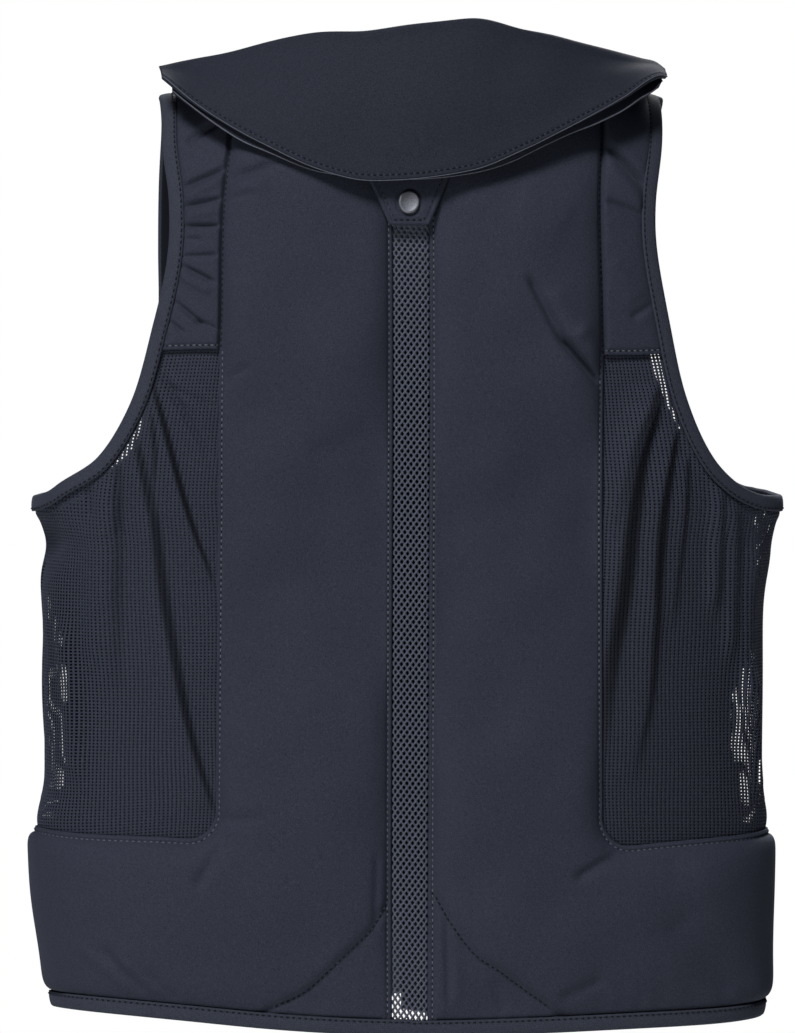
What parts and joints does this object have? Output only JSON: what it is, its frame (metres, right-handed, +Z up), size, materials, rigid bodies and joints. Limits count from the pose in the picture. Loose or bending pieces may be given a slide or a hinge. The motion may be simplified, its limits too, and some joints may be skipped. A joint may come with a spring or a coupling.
{
  "type": "airbag vest",
  "caption": "Sleeveless riding airbag vest in its worn form: padded back panels beside a mesh spine, net sides, zip front, bound armholes and hem, folded collar with a snap tab.",
  "frame": {"origin": "between the shoulder straps, at the height of the strap tops, where a wearer's shoulders carry the vest", "axes": "+Z up, +X towards the wearer's right, +Y towards the wearer's front, so the back of the vest faces -Y"},
  "size_m": [0.4352, 0.1654, 0.5883],
  "materials": {
    "shell_fabric": "matte fine plain weave, dark navy",
    "net_fabric": "matte knitted net with small holes, dark navy",
    "spacer_mesh": "knitted spacer mesh, slate grey",
    "binding_tape": "ribbed woven tape, dark navy",
    "snap_metal": "satin, darkened",
    "zip_plastic": "moulded coil on woven tape"
  },
  "bodies": {
    "root": {"back_panel_right": "shell_fabric", "back_panel_left": "shell_fabric", "shoulder_panel_right": "shell_fabric", "shoulder_panel_left": "shell_fabric", "side_net_right": "net_fabric", "side_net_left": "net_fabric", "front_panel_right": "shell_fabric", "front_panel_left": "shell_fabric", "armhole_binding_right": "binding_tape", "armhole_binding_left": "binding_tape", "spine_mesh": "spacer_mesh", "front_zip": "zip_plastic", "hem_binding": "binding_tape", "collar_flap": "shell_fabric", "collar_leaf": "shell_fabric", "snap_tab": "shell_fabric", "snap_cap": "snap_metal"}
  },
  "joints": []
}
